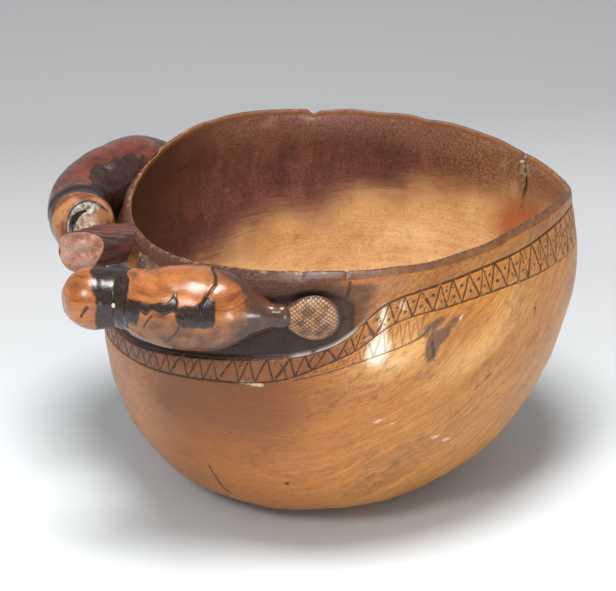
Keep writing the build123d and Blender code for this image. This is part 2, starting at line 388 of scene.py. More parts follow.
class Shader:
    """A procedural material; its methods add nodes and return the last one's output.

    An input is another node's output, a number, the name of a field stored on the mesh, or a
    shade as three display values from 0 to 255.
    """

    def __init__(self, name):
        self.material = bpy.data.materials.new(name)
        self.material.use_nodes = True
        self.tree = self.material.node_tree
        self.surface = self.tree.nodes["Principled BSDF"]

    def plug(self, socket, value):
        if isinstance(value, str):
            value = self.field(value)
        if isinstance(value, bpy.types.NodeSocket):
            self.tree.links.new(value, socket)
        else:
            socket.default_value = colour(*value) if socket.type == "RGBA" else value

    def add(self, kind, inputs, output=0, **settings):
        node = self.tree.nodes.new(kind)
        for key, value in settings.items():
            setattr(node, key, value)
        for key, value in inputs.items():
            self.plug(node.inputs[key], value)
        return node.outputs[output]

    def field(self, name, output="Fac"):
        return self.add("ShaderNodeAttribute", {}, output, attribute_name=name)

    def split(self, vector):
        """The x, y and z of a vector."""
        node = self.tree.nodes.new("ShaderNodeSeparateXYZ")
        self.plug(node.inputs[0], vector)
        return node.outputs

    def unrolled(self, name):
        """The u and v of a UV layer."""
        return self.split(self.add("ShaderNodeUVMap", {}, 0, uv_map=name))[:2]

    def noise(self, vector, scale, detail=3.0, rough=0.55):
        """Noise with one scale, or stretched by three."""
        if isinstance(scale, tuple):
            vector, scale = self.add("ShaderNodeMapping", {"Vector": vector, "Scale": scale}), 1.0
        return self.add("ShaderNodeTexNoise", {"Vector": vector, "Scale": scale, "Detail": detail,
                                               "Roughness": rough}, "Fac")

    def ramp(self, value, *stops):
        """A colour ramp through stops of place, red, green and blue."""
        node = self.tree.nodes.new("ShaderNodeValToRGB")
        elements = node.color_ramp.elements
        while len(elements) < len(stops):
            elements.new(0.5)
        for element, (place, *shade) in zip(elements, stops):
            element.position = place
            element.color = colour(*shade)
        self.plug(node.inputs["Fac"], value)
        return node.outputs["Color"]

    def step(self, value, low, high):
        """0 to 1 as value goes from low to high."""
        return self.add("ShaderNodeMapRange", {"Value": value, "From Min": low, "From Max": high},
                        interpolation_type="SMOOTHSTEP")

    def math(self, operation, *values):
        return self.add("ShaderNodeMath", dict(enumerate(values)), operation=operation)

    def times(self, *values):
        return reduce(lambda a, b: self.math("MULTIPLY", a, b), values)

    def sum(self, *values):
        return reduce(lambda a, b: self.math("ADD", a, b), values)

    def most(self, *values):
        """The largest of the values."""
        return reduce(lambda a, b: self.math("MAXIMUM", a, b), values)

    def frayed(self, value, texture, amount):
        """value with its edges broken up by a texture that runs about 0.5."""
        return self.sum(value, self.times(self.math("SUBTRACT", texture, 0.5), amount))

    def mix(self, amount, a, b, blend="MIX"):
        return self.add("ShaderNodeMix", {0: amount, 6: a, 7: b}, 2, data_type="RGBA", blend_type=blend)

    def lay(self, base, shade, *amounts):
        """base with a shade laid over it, as much as the product of the amounts."""
        return self.mix(self.times(*amounts), base, shade)

    def between(self, value, low, high, first, second):
        """From one shade to another as value goes from low to high."""
        return self.mix(self.step(value, low, high), first, second)

    def bump(self, height, distance, strength):
        inputs = {"Height": height, "Distance": distance, "Strength": strength}
        return self.add("ShaderNodeBump", inputs)

    def finish(self, base, rough, normal, coat=0.0, coat_rough=0.2, level=0.5):
        self.plug(self.surface.inputs["Base Color"], base)
        self.plug(self.surface.inputs["Roughness"], rough)
        self.plug(self.surface.inputs["Normal"], normal)
        self.surface.inputs["Specular IOR Level"].default_value = level
        self.surface.inputs["Coat Weight"].default_value = coat
        self.surface.inputs["Coat Roughness"].default_value = coat_rough
        return self.material


# ---------------------------------------------------------------- bowl piece
def graded(count, power):
    """count numbers from 0 to just under 1, closer together near 0."""
    return (np.arange(count) / count) ** power


def bowl_rows(angle):
    """Rows of the bowl's surface and their zones.

    They run from the middle of the foot, up the outside, over the rim and down the inside.
    """
    rim = rim_height(angle)
    side = side_of(angle)
    low, top = rim - BAND_LOW(side) - 1.0, rim - BAND_TOP(side) + 0.6
    facet = rim - 1.7
    rows, zone = [], []

    def put(points, where):
        rows.append(points)
        zone.append(np.full(len(angle), where))

    def put_near_rim(below, out, where):
        put(egg_points(rim - below, angle, half_length((rim - below) / HEIGHT) + out), where)

    for share in (0.05, 0.35, 0.65, 0.88):
        hollow = (0, 0, 0.5 * (1 - share ** 2))
        put(egg_points(0 * angle, angle, FOOT_HALF_LENGTH * share) + hollow, OUTSIDE)
    for share in graded(44, 1.9):
        put(on_wall(share * low, angle), OUTSIDE)
    for share in graded(27, 1.0):
        put(on_wall(low + share * (top - low), angle), OUTSIDE)
    for share in graded(24, 1.0):
        z = top + share * (facet - top)
        put(on_wall(z, angle, 0.62 * smoothstep(7.0, 1.7, rim - z)), OUTSIDE)
    for below, out in ((1.7, 0.62), (1.3, 0.45), (0.8, 0.12), (0.35, -0.15), (0.08, -0.45), (0, -0.8)):
        put_near_rim(below, out, BEVEL)
    for below, inset in ((0.1, 1.05), (0.4, 1.4), (1.0, 1.75), (2.0, 2.05)):
        put_near_rim(below, -inset, INNER_EDGE)
    wall = rim - 3.2
    for share in graded(46, 1.0):
        depth = 1 - (1 - share) ** 1.7
        z = wall - depth * (wall - FLOOR)
        u = (z - FLOOR) / (HEIGHT - FLOOR)
        put(egg_points(z, angle, half_length(u) - wall_thickness(u)), INSIDE)
    for share in (1.0, 0.8, 0.55, 0.3, 0.06):
        half = (FOOT_HALF_LENGTH - LOW_WALL) * share
        put(egg_points(np.full_like(angle, FLOOR), angle, half), INSIDE)
    return np.array(rows), np.array(zone)


def crack_half_width(down):
    """Half width of the filled crack, in mm, at a distance down from the rim."""
    down = np.abs(down)
    return (0.75 + 0.5 * smoothstep(0, 5, down)) * smoothstep(19.0, 6.0, down) + 0.08


def rim_wear(angle, points):
    """How far the rim has worn down, in mm, around the bowl."""
    wear = 0.16 * (1 + ripple(points, 11.0, 5)) + 0.04 * (1 + ripple(points, 3.5, 6))
    for centre, half_width, deep, sharp in RIM_DIPS:
        away = np.abs((np.degrees(angle) - centre + 180) % 360 - 180) / half_width
        wear = wear + deep * np.exp(-away ** sharp * 1.5)
    return wear


def make_bowl():
    turn = (np.arange(BOWL_COLUMNS) / BOWL_COLUMNS * 2 - 1) * pi
    angle = turn - 0.3 * np.cos(turn)
    rows, zone = bowl_rows(angle)
    angles = np.broadcast_to(angle, zone.shape)
    rim = rim_height(angle)

    # the rim wears down most at its crest, and the wear dies out below it
    drop = rim - rows[..., 2]
    wear = rim_wear(angle, on_wall(rim, angle))
    rows[..., 2] -= wear * smoothstep(5.0, 0.0, drop)

    normal = normals_of(rows)
    outside = (zone == OUTSIDE).astype(float)
    inside = (zone == INSIDE).astype(float)
    cuts = engraving(rows[..., 2] + 0 * angles, angles)
    side = side_of(angles)
    pitch = 2 * pi * BAND_RADIUS / LATTICE_CELLS
    shape = outside * band_cuts(cuts, pitch)

    # panel sunk round each tail, above the band's top line
    above = BAND_TOP(side) - drop
    below_top = drop - TAIL_PANEL_TOP(side)
    panel = smoothstep(0.1, 0.7, above) * smoothstep(0, 3, below_top) * smoothstep(102.5, 106, side)
    shape -= outside * 1.25 * panel

    # hand-cut unevenness: broad flats outside, fine tool ripples inside
    flats = 0.35 * ripple(rows, 22.0, 11) + 0.10 * ripple(rows, 7.0, 12)
    shape += outside * flats * smoothstep(0, 6, rows[..., 2])
    shape += inside * (0.30 * ripple(rows, 16.0, 21) + 0.08 * ripple(rows * (0.4, 1, 1), 4.0, 22))
    shape += (zone == BEVEL) * 0.03 * ripple(rows, 3.0, 31)

    # drying cracks and pits
    place = np.stack([angles * UNROLLED_RADIUS, rows[..., 2]], -1)
    for line in CRACKS:
        away = distance_to_line(place, [unrolled(*spot) for spot in line])
        shape += outside * groove(away, 0.6, 0.4)
    for *spot, radius in PITS:
        away = np.linalg.norm(place - unrolled(*spot), axis=-1)
        shape += outside * groove(away, radius * 1.3, 0.5)

    # the filled crack near the nose: a slot through the rim that narrows downwards
    crack_radius = 60.0
    near_crack = np.exp(-((angles - radians(CRACK_AT)) * crack_radius / 2.6) ** 2)
    near_crack = near_crack * smoothstep(20, 4, drop)
    crack = (angles - np.radians(CRACK_AT + 0.25 * np.sin(drop * 0.5))) * crack_radius
    slot = smoothstep(1.15, 0.6, np.abs(crack) / crack_half_width(drop)) * smoothstep(19, 13, drop)
    shape -= 0.6 * slot

    rows = rows + normal * shape[..., None]
    rows[..., 2] = np.maximum(rows[..., 2], 0.0)

    def marked(lines):
        """Distance to the nearest of some lines, at most 9 mm."""
        away = np.full(zone.shape, 9.0)
        for line in lines:
            away = np.minimum(away, distance_to_line(place, [unrolled(*spot) for spot in line]))
        return away

    over_stain = rows[..., 2] - INNER_STAIN(side) + 3.5 * ripple(rows * (1, 1, 0.6), 12.0, 91)
    band = smoothstep(-0.02, 0.02, cuts["across"]) * smoothstep(1.02, 0.98, cuts["across"]) * outside
    halo = smoothstep(0.5, 4.5, above + 2.0) * smoothstep(96, 103, side)
    halo = halo * smoothstep(0, 2.5, drop - 2.0) * outside
    # pale crest: wear, and painted edge highlights along it
    worn_and_glinting = smoothstep(0.7, 0.1, np.abs(drop)) * (0.3 + 0.4 * smoothstep(95, 125, side))
    worn_and_glinting = np.maximum(worn_and_glinting, 0.9 * smoothstep(1.6, 0.3, np.abs(drop)) * smoothstep(24, 10, side))
    # below the band on the left the wall is darker: a darker tone, and the beaver's shadow painted on
    shade_below = smoothstep(44, 4, drop - BAND_LOW(side)) * smoothstep(103, 124, side)
    # painted highlight: a thin pale line along the ridge at the top of the band
    ridge_glint = smoothstep(0.34, 0.08, np.abs(above - 0.35)) * smoothstep(99.0, 101.5, side)
    scars = marked(CRACKS)
    for *spot, radius in PITS:
        scars = np.minimum(scars, np.linalg.norm(place - unrolled(*spot), axis=-1) - radius + 0.3)
    # a pale chip on the knob by the handle, its brightness partly a painted glint
    glint_across = place[..., 0] - unrolled(-177, 0)[0]
    fields = {
        "zone": zone,
        "drop": drop + 0 * zone,
        "panel": np.maximum(outside * panel, 0.55 * halo),
        "in_band": band,
        "shaded_band": band * smoothstep(96, 112, side) + 0.22 * band,
        "rusty": smoothstep(84, 130, side) * (1 - 0.4 * smoothstep(152, 166, side)) * outside,
        "shade_under_band": shade_below * outside * (1 - band) * (1 - 0.85 * smoothstep(148, 163, side)),
        "collar": smoothstep(0.0, 1.2, above) * smoothstep(108, 98, side) * outside,
        "ridge_glint": ridge_glint * smoothstep(119.5, 117, side) * outside,
        "stain": blots(place, STAINS) * outside,
        "bleached": blots(place, BLEACHED) * outside,
        "scratch": marked(SCRATCHES),
        "scar": np.where(outside > 0, scars, 9.0),
        "lightened": blots(place, RUBBED_AND_PAINTED_GLOW) * outside,
        "painted_highlight": blots(place, PAINTED_HIGHLIGHTS) * outside,
        "ledge": smoothstep(100, 116, side) * (zone < INNER_EDGE) * smoothstep(7, 3, drop),
        "inner_dark": smoothstep(-15.0, 14.0, over_stain),
        "inner_deep": smoothstep(104, 150, side),
        "inner_nose": smoothstep(70, 30, side),
        "inner_rim": smoothstep(17, 4, drop) * smoothstep(150, 110, side),
        "inner_pale": blots(place, INNER_PALE),
        "inner_orange": blots(place, INNER_ORANGE),
        "crack_fill": np.maximum(slot, 0.6 * near_crack) * (1 - outside),
        "worn_and_glinting": worn_and_glinting * (zone >= BEVEL),
        "crest": smoothstep(0.55, 0.1, np.abs(drop)) * (zone >= BEVEL) * smoothstep(126, 110, side),
        "chip_and_glint": np.exp(-(glint_across / 1.7) ** 2 - ((drop - 0.8) / 1.7) ** 2) * (zone >= BEVEL),
        "band_mm": cuts["band_mm"],
        "wedge_mm": cuts["wedge_mm"],
        "dots": cuts["dots"],
        "crossed": smoothstep(94, 106, side),
        "lower_line": 0.35 + 0.65 * smoothstep(28, 62, side),
        "grain": grain_of(rows, np.where(zone >= INNER_EDGE, 0.12, 1.0)),
    }
    uvs = {"band": (cuts["cell"], cuts["across"]), "wedge": (cuts["cell"], cuts["wedge"])}
    return ringed_piece("bowl", rows, fields, uv_fields=uvs, uv_wrap=float(LATTICE_CELLS))


def grain_of(points, climbing=1.0):
    """Wood coordinates in mm: the grain wavers along X and climbs towards the nose."""
    x, y, z = points[..., 0], points[..., 1], points[..., 2]
    ahead = x + 2.0
    climb = 0.42 * (np.sqrt(ahead ** 2 + 26.0 ** 2) + ahead)
    waver = 1.6 * ripple(points, 30.0, 95) + 0.5 * ripple(points, 11.0, 96)
    return np.stack([x, y, z - climb * climbing + waver], -1)


# ---------------------------------------------------------------- figures
# stations: x, y, z, side radius, up radius, from the head to the tail root
FRONT_SPINE = [
    (-87.2, -32.2, 85.0, 0.4, 0.4),
    (-86.8, -32.2, 85.0, 3.0, 3.0),
    (-85.5, -32.3, 85.0, 5.5, 5.5),
    (-83.0, -32.6, 85.0, 7.7, 7.6),
    (-79.8, -33.1, 85.0, 8.9, 8.8),
    (-75.5, -33.8, 85.0, 9.3, 9.2),
    (-70.5, -35.0, 85.1, 9.2, 8.9),
    (-66.2, -38.0, 85.1, 10.3, 9.6),
    (-61.2, -42.0, 84.9, 11.9, 11.2),
    (-56.8, -44.6, 84.8, 12.7, 12.2),
    (-51.7, -46.8, 84.8, 13.0, 12.7),
    (-45.2, -50.2, 84.8, 12.4, 12.3),
    (-40.6, -52.9, 85.0, 10.5, 10.7),
    (-36.6, -55.2, 85.0, 7.9, 8.2),
    (-32.8, -57.6, 85.0, 4.9, 5.6),
    (-29.8, -59.6, 85.1, 3.2, 3.9),
    (-26.6, -61.6, 85.2, 2.7, 3.6),
    (-24.6, -62.8, 85.2, 0.6, 0.9),
]
REAR_SPINE = [
    (-69.7, 9.2, 85.0, 0.4, 0.4),
    (-69.7, 9.3, 85.0, 4.0, 4.0),
    (-69.7, 9.5, 85.0, 7.4, 7.4),
    (-69.8, 10.3, 85.0, 8.6, 8.5),
    (-69.9, 12.6, 85.0, 9.6, 9.4),
    (-70.1, 18.0, 85.0, 10.0, 9.9),
    (-70.1, 23.5, 85.0, 10.1, 10.0),
    (-69.4, 28.8, 85.0, 10.0, 9.8),
    (-66.8, 35.2, 84.9, 10.9, 10.6),
    (-62.8, 39.6, 84.9, 12.1, 12.0),
    (-55.5, 44.2, 84.9, 13.2, 13.2),
    (-46.0, 49.8, 84.9, 12.8, 12.8),
    (-38.5, 54.4, 85.0, 10.6, 10.7),
    (-32.8, 57.8, 85.0, 6.0, 6.4),
    (-29.8, 59.6, 85.1, 3.2, 3.9),
    (-26.6, 61.6, 85.2, 2.7, 3.6),
    (-24.6, 62.8, 85.2, 0.6, 0.9),
]
SKIN_PER_DEGREE = 0.2
BEAVER_RINGS = 320
BEAVER_COLUMNS = 232
TAIL_LENGTH = 17.5
EYES = ((-73.9, -43.6, 86.9), (-73.6, -24.4, 86.9))
TAIL_HEIGHT = 14.0


def loft(stations, count, columns, hand=1):
    """Rings along a smooth spine through stations (x, y, z, side radius, up radius).

    Returns points, distance along the skin and angle around the spine in degrees: 0 looks away
    from the bowl and 90 looks up.  hand is 1 for a spine with the bowl on its left, else -1.
    """
    stations = np.array(stations, float)
    chord = np.concatenate([[0], np.cumsum(np.linalg.norm(np.diff(stations[:, :4], axis=0), axis=1))])
    curves = [smooth_curve(list(zip(chord, column))) for column in stations.T]
    along = np.linspace(0, 1, count) * chord[-1]
    centre = np.stack([curve(along) for curve in curves[:3]], -1)
    side, up = curves[3](along), curves[4](along)
    tangent = np.gradient(centre, axis=0)
    tangent /= np.linalg.norm(tangent, axis=1, keepdims=True)
    lateral = np.stack([tangent[:, 1], -tangent[:, 0], 0 * along], -1) * hand
    lateral /= np.linalg.norm(lateral, axis=1, keepdims=True)
    lift = np.cross(lateral, tangent)
    lift *= np.sign(lift[:, 2:3])
    around = np.arange(columns) / columns * 2 * pi - pi
    points = (centre[:, None]
              + lateral[:, None] * (side[:, None] * np.cos(around))[..., None]
              + lift[:, None] * (up[:, None] * np.sin(around))[..., None])
    return points, np.broadcast_to(along[:, None], points.shape[:2]), np.broadcast_to(
        np.degrees(around), points.shape[:2])


def inside_outline(points, outline, soft):
    """1 inside a closed outline of 2-D points, 0 outside, with an edge that wide."""
    outline = [np.array(corner, float) for corner in outline]
    edge = distance_to_line(points, outline + outline[:1])
    crossings = np.zeros(points.shape[:-1], bool)
    for a, b in zip(outline, outline[1:] + outline[:1]):
        rises = (a[1] > points[..., 1]) != (b[1] > points[..., 1])
        drop = np.where(b[1] == a[1], 1e-9, b[1] - a[1])
        reach = a[0] + (points[..., 1] - a[1]) * (b[0] - a[0]) / drop
        crossings ^= rises & (points[..., 0] < reach)
    return smoothstep(-soft, soft, np.where(crossings, edge, -edge))


def make_beaver(side, spine, hand, neck):
    """Head and body of one beaver as two pieces that meet at the neck, a distance along its skin."""
    points, along, around = loft(spine, BEAVER_RINGS, BEAVER_COLUMNS, hand)
    flip = hand > 0
    normal = normals_of(points, flip)
    marks = beaver_marks(side, along, around, points)
    shape = 0.16 * ripple(points, 9.0, 41) + 0.05 * ripple(points, 3.0, 42) + marks.pop("shape")
    points = points + normal * shape[..., None]
    points = kept_outside(points, 1.0)
    fields = {"grain": grain_of(points), **marks}
    if side == "rear":
        fields["face"], fields["slope"] = face_zones(points, along)
        points = broken_face(points, along)
    ring = int(np.searchsorted(along[:, 0], neck))
    pieces = []
    for part, rows in (("head", slice(0, ring + 1)), ("body", slice(ring, None))):
        node = f"{side}_beaver_{part}"
        part_fields = {key: field[rows] for key, field in fields.items()}
        pieces.append((ringed_piece(node + "_skin", points[rows], part_fields, flip), node))
    return pieces


def face_zones(points, along):
    """Masks of the hollow at the end of the rear head and of the pale slope in it."""
    x, z = points[..., 0] - FACE_CENTRE[0], points[..., 2] - FACE_CENTRE[1]
    face = smoothstep(7.5, 6.9, np.hypot(x, z)) * (along < 14)
    return face, face * smoothstep(4.2, 2.6, z - 0.25 * x) * smoothstep(-5.0, -2.5, x)


def broken_face(points, along):
    """Cuts the end of the rear head back at the top and hollows it above a slope."""
    points = points.copy()
    x, z = points[..., 0] - FACE_CENTRE[0], points[..., 2] - FACE_CENTRE[1]
    radius = np.hypot(x, z)
    depth = 0.4 + 1.3 * smoothstep(-1.0, 5.0, z - 0.25 * x)
    points[..., 1] += 0.30 * (z + 8.5) * smoothstep(20, 8, along)
    points[..., 1] += depth * smoothstep(7.6, 6.7, radius) * (along < 14)
    return points


def skin_line(*spots):
    """A polyline on the unrolled skin from (distance along, degrees around) spots."""
    return [(along, around * SKIN_PER_DEGREE) for along, around in spots]


# on the front beaver: where the black mask ends, the edge of the dark rump, its patches and cuts
MASK_END = smooth_curve([
    (-60, 28), (-23, 30), (0, 31), (28, 29.6), (45, 29.2), (64, 27), (85, 25.2), (120, 24)])
RUMP_EDGE = smooth_curve([
    (-80, 47), (-60, 50), (-39, 54.6), (-31, 58), (-18, 61.5), (3, 64.5), (34, 65.5), (65, 63),
    (78, 59.5), (88, 55.5), (110, 50), (150, 46)])
FOREPAW = skin_line(
    (29.6, 29), (33.0, 30), (35.9, 27), (37.8, 31), (39.6, 33.5), (41.6, 46), (42.8, 33), (42.4, 24),
    (45.2, 14), (41.0, 20), (38.6, 14), (36.2, 19), (35.2, 13), (33.4, 16), (32.8, -11), (30.2, -8))
HINDPAW = skin_line(
    (42.2, 22), (45.7, 31), (48.6, 30), (52.0, 42), (55.3, 40), (55.8, 15.5), (54.8, 2), (50.7, 0),
    (46.2, -2), (42.4, 7))
HAUNCH = skin_line(
    (50.2, 112), (51.4, 95), (53.7, 77.6), (54.3, 63.6), (53.2, 51), (51.7, 43), (50.9, 32), (50.7, 23))
ARMS = (skin_line((36.4, 12), (35.4, 3), (34.4, -10)),
        skin_line((43.4, 3), (42.6, -6), (41, -16), (39.4, -31)))
MOUTH = skin_line((11.9, 10), (10.9, 0), (9.9, -13))
# the lower edge of the chest: a low ridge with a painted highlight along it
CHEST = skin_line((28.5, -24), (30.4, -25), (32.4, -27), (34.2, -34), (36.4, -41), (40, -48))
# on the rear beaver: the end of the pale skin round its broken head, and the dark shoulder
RING_END = smooth_curve([
    (-90, 14), (0, 17), (23, 17.5), (45, 19), (88, 19.1), (113, 16.4), (137, 13.9), (160, 9)])
SHOULDER = skin_line(
    (24.5, 196), (24.2, 160), (25.5, 126), (27.5, 112), (33.3, 106), (38.5, 101), (43.5, 108),
    (50, 118), (56, 124), (53, 150), (44, 170), (38, 196))


def wrapped(around):
    """Degrees around the spine counted from -90 below to 270, so that no seam crosses the shoulder."""
    return (around + 90) % 360 - 90


def beaver_marks(side, along, around, points):
    """Cut lines, bulges and dark patches of a beaver, worked out on its unrolled skin."""
    around = wrapped(around)
    skin = np.stack([along, around * SKIN_PER_DEGREE], -1)
    ragged = 0.7 * ripple(points, 3.2, 51) + 0.3 * ripple(points, 1.4, 52)
    fray = 0.3 if side == "front" else 0.9
    frayed = skin + np.stack([ripple(points, 2.2, 53), ripple(points, 2.2, 54)], -1) * fray
    haunch = groove(distance_to_line(skin, HAUNCH), 0.75, 0.55) * (side == "front")
    rump = smoothstep(50.5, 56, along) * smoothstep(72, 60, along) * 0.5
    if side == "front":
        mask = smoothstep(12.8, 15.0, along + 0.6 * ragged)
        mask = mask * smoothstep(0.6, -0.6, along - MASK_END(around) + 0.7 * ragged)
        dark = np.maximum(mask, inside_outline(frayed, FOREPAW, 0.8))
        dark = np.maximum(dark, inside_outline(frayed, HINDPAW, 0.8))
        grey = smoothstep(-6.0, 3.0, along - RUMP_EDGE(around) + 1.2 * ragged)
        seams = groove(distance_to_line(skin, MOUTH), 0.75, 0.5)
        for arm in ARMS:
            seams = np.minimum(seams, groove(distance_to_line(skin, arm), 0.55, 0.28))
        seams = np.minimum(seams, groove(distance_to_line(skin, FOREPAW + FOREPAW[:1]), 0.5, 0.16))
        # the chest's lower edge: raised a little and given a painted grey highlight
        edge = smoothstep(1.1, 0.2, distance_to_line(skin, CHEST))
        neck = smoothstep(2.6, 0, np.abs(along - 27.5))
        shape = 0.25 * smoothstep(17, 14.5, along) - 0.35 * neck + 0.35 * edge
        shape = shape * smoothstep(4, 9, along)
        ring = np.zeros(along.shape)
    else:
        past_ring = along - RING_END(around) + 0.5 * ragged
        band = smoothstep(-0.8, 0.8, past_ring) * smoothstep(27.5, 24.5, along + ragged)
        dark = np.maximum(0.8 * band, inside_outline(frayed, SHOULDER, 1.2))
        grey = smoothstep(62, 68, along) * 0.9
        seams = -0.55 * smoothstep(2.4, 0.0, np.abs(along - 22.5))
        edge = np.zeros(along.shape)
        shape = np.zeros(along.shape)
        ring = smoothstep(0.8, -0.8, past_ring)
    # painted shade: the underside and the side against the bowl are darkened
    shade_below = smoothstep(-38, -62, around) + smoothstep(150, 190, around)
    return {
        "shape": shape + haunch + seams + rump,
        "dark": dark,
        "grey": grey,
        "cut": np.clip(-(haunch + seams) / 0.3, 0, 1),
        "edge": edge,
        "ring": ring,
        "belly": smoothstep(28, -12, around) * smoothstep(-60, -40, around) * smoothstep(26, 34, along),
        "shade_below": np.clip(shade_below, 0, 1),
        "back": smoothstep(48, 92, around) * smoothstep(43, 56, along) * (side == "front"),
    }


def make_tail(side):
    """A leaf-shaped tail with cross-hatching that lies against the bowl's wall."""
    sign = -1 if side == "front" else 1
    centre = np.array([-19.8, 64.0 * sign, 85.3])
    outward = np.array([-0.33, 0.94 * sign, 0.05])
    outward /= np.linalg.norm(outward)
    long_way = np.array([0.94, 0.33 * sign, 0.0])
    up = np.array([0.0, 0.0, 1.0])
    columns, rings = 300, 72
    pitch = 1.25
    angle = np.arange(columns) / columns * 2 * pi
    share = np.concatenate([np.linspace(0.01, 1, rings), np.linspace(1.0, 0.05, 14)[1:]])
    front = np.arange(len(share)) < rings
    reach = 1 + 0.10 * np.minimum(np.cos(angle), 0)
    across = TAIL_LENGTH / 2 * np.cos(angle)
    rise = TAIL_HEIGHT / 2 * np.sin(angle) * (1 + 0.16 * np.cos(angle)) * reach
    s = share[:, None] * across
    t = share[:, None] * rise
    dome = 2.3 * (1 - share ** 3.2) + 0.2
    height = np.where(front, dome, 0.2 - 0.8 * (1 - share))[:, None] + 0 * s
    rising, falling = [np.abs(((s * 0.8 + way * t) / pitch) % 1.0 - 0.5) * 2 for way in (1, -1)]
    cut = np.minimum(smoothstep(0.0, 0.5, rising), smoothstep(0.0, 0.5, falling))
    height = height - 0.22 * (1 - cut) * front[:, None] * smoothstep(1.0, 0.93, share)[:, None]
    curve = -(s ** 2) / 190.0
    points = (centre + s[..., None] * long_way + t[..., None] * up
              + (height + curve - t * 0.10)[..., None] * outward)
    edge = smoothstep(0.8, 1.0, share)[:, None] + 0 * s
    fields = {"hatch": 1 - cut, "dark": edge, "grain": grain_of(points)}
    node = f"{side}_beaver_tail"
    return ringed_piece(node + "_skin", points, fields, flip=(sign > 0)), node


LUG_FACETS = [
    # normal, distance from LUG_MIDDLE, 1 where the wood is rubbed pale
    ((-0.42, -0.86, 0.28), 6.8, 1),
    ((-0.66, -0.68, 0.30), 11.4, 1),
    ((-0.88, -0.40, 0.10), 14.2, 1),
    ((-0.30, -0.90, -0.10), 7.6, 1),
    ((-0.55, -0.50, -0.66), 11.6, 1),
    ((-0.85, 0.10, 0.52), 12.9, 1),
    ((-0.93, 0.35, 0.05), 14.0, 0),
    ((-0.10, 0.25, 0.96), 6.3, 0),
    ((-0.25, 0.75, 0.60), 7.4, 0),
    ((-0.25, 0.95, 0.05), 6.8, 0),
]


def make_lug():
    """The stump of the handle between the two heads, worn into flat facets at its end."""
    rings, columns = 150, 220
    u = np.linspace(0, 1, rings)
    angle = np.arange(columns) / columns * 2 * pi - pi
    end = np.sqrt(np.clip(1 - (1 - np.clip(u / 0.30, 0, 1)) ** 2.2, 0.0004, 1))
    half_width = (7.6 - 1.9 * u) * end
    half_height = (7.2 - 1.8 * u) * end
    power = 0.74
    y = half_width[:, None] * np.sign(np.sin(angle)) * np.abs(np.sin(angle)) ** power
    z = LUG_MIDDLE[2] + half_height[:, None] * np.sign(np.cos(angle)) * np.abs(np.cos(angle)) ** power
    # the inner end stops inside the bowl's wall, which leans outwards below the rim
    inner_x = -57.2 - 0.42 * (91.4 - z)
    tip_x = -81.6
    x = tip_x + (inner_x - tip_x) * u[:, None]
    points = np.stack([x, -y, z], -1)
    wear = np.zeros(y.shape)
    for normal, reach, lightened in LUG_FACETS:
        normal = np.array(normal) / np.linalg.norm(normal)
        over = (points - LUG_MIDDLE) @ normal - reach - 0.15 * ripple(points, 5.0, 61)
        points = points - np.maximum(over, 0)[..., None] * normal
        wear = np.where(over > 0, lightened * np.maximum(smoothstep(0.0, 0.3, over), wear), wear)
    normal = normals_of(points)
    top = smoothstep(0.2, 0.8, normal[..., 2]) * smoothstep(-80.0, -76.0, points[..., 0]) * (1 - wear)
    ridges = np.abs(((points[..., 1] * 0.55 + points[..., 0] * 0.10) % 1.0) - 0.5) * 2
    shape = -0.35 * top * (1 - ridges) ** 2 + (0.10 + 0.12 * wear) * ripple(points, 2.6, 62)
    points = points + normal * shape[..., None]
    fields = {
        "end": wear * smoothstep(-60.5, -66.0, points[..., 0] + 1.2 * ripple(points, 3.0, 63)),
        "cut": top * (1 - ridges) ** 2,
        "grain": grain_of(points),
    }
    return ringed_piece("handle_lug_skin", points, fields)


def make_web():
    """The ledge that fills the corner between the rim, the lug and the front beaver."""
    sections, across = 110, 40
    u = np.linspace(0, 1, sections)[:, None]
    v = np.linspace(0, 1, across)[None, :]
    angle = np.radians(-176.0 + 52.0 * u)
    rim = rim_height(angle)
    inner = egg_points(rim - 1.2, angle, half_length((rim - 1.2) / HEIGHT) - 1.6)
    steps = [(0.0, -66.6, -36.4), (0.35, -58.0, -43.4), (0.7, -47.0, -49.0), (1.0, -36.0, -55.0)]
    outer_x = smooth_curve([(t, x) for t, x, _ in steps])(u)
    outer_y = smooth_curve([(t, y) for t, _, y in steps])(u)
    outer = np.stack([outer_x, outer_y, 91.4 + 0 * outer_x], -1)
    top = inner + (outer - inner) * v[..., None]
    slope = 1.3 * smoothstep(0.0, 0.30, v) + 2.4 * np.sin(pi * v) * (1 - 0.55 * u)
    top[..., 2] = np.broadcast_to(rim - 0.6, slope.shape) * (1 - v) + 91.0 * v - slope
    top[..., 2] += 0.25 * ripple(top, 4.0, 71) + 0.10 * ripple(top, 1.6, 72)
    foot_inner = egg_points(WEB_FOOT + 0 * angle, angle, half_length(WEB_FOOT / HEIGHT) - 1.2)
    foot_outer = outer * (1, 1, 0) + (0, 0, WEB_FOOT)
    bottom = foot_outer + (foot_inner - foot_outer) * v[..., None]
    rings = np.concatenate([top, bottom], axis=1)
    # the left end leans back under its top edge
    lean = smoothstep(0.05, 0.0, u)
    rings[..., 0] += lean * smoothstep(90, 79, rings[..., 2]) * 2.0
    # the web's top; below it the web is painted near-black as the shadow in the gap under the ledge
    fields = {"top_of_web": smoothstep(86.0, 89.0, rings[..., 2]), "grain": grain_of(rings)}
    return ringed_piece("front_web_skin", rings, fields, flip=True)


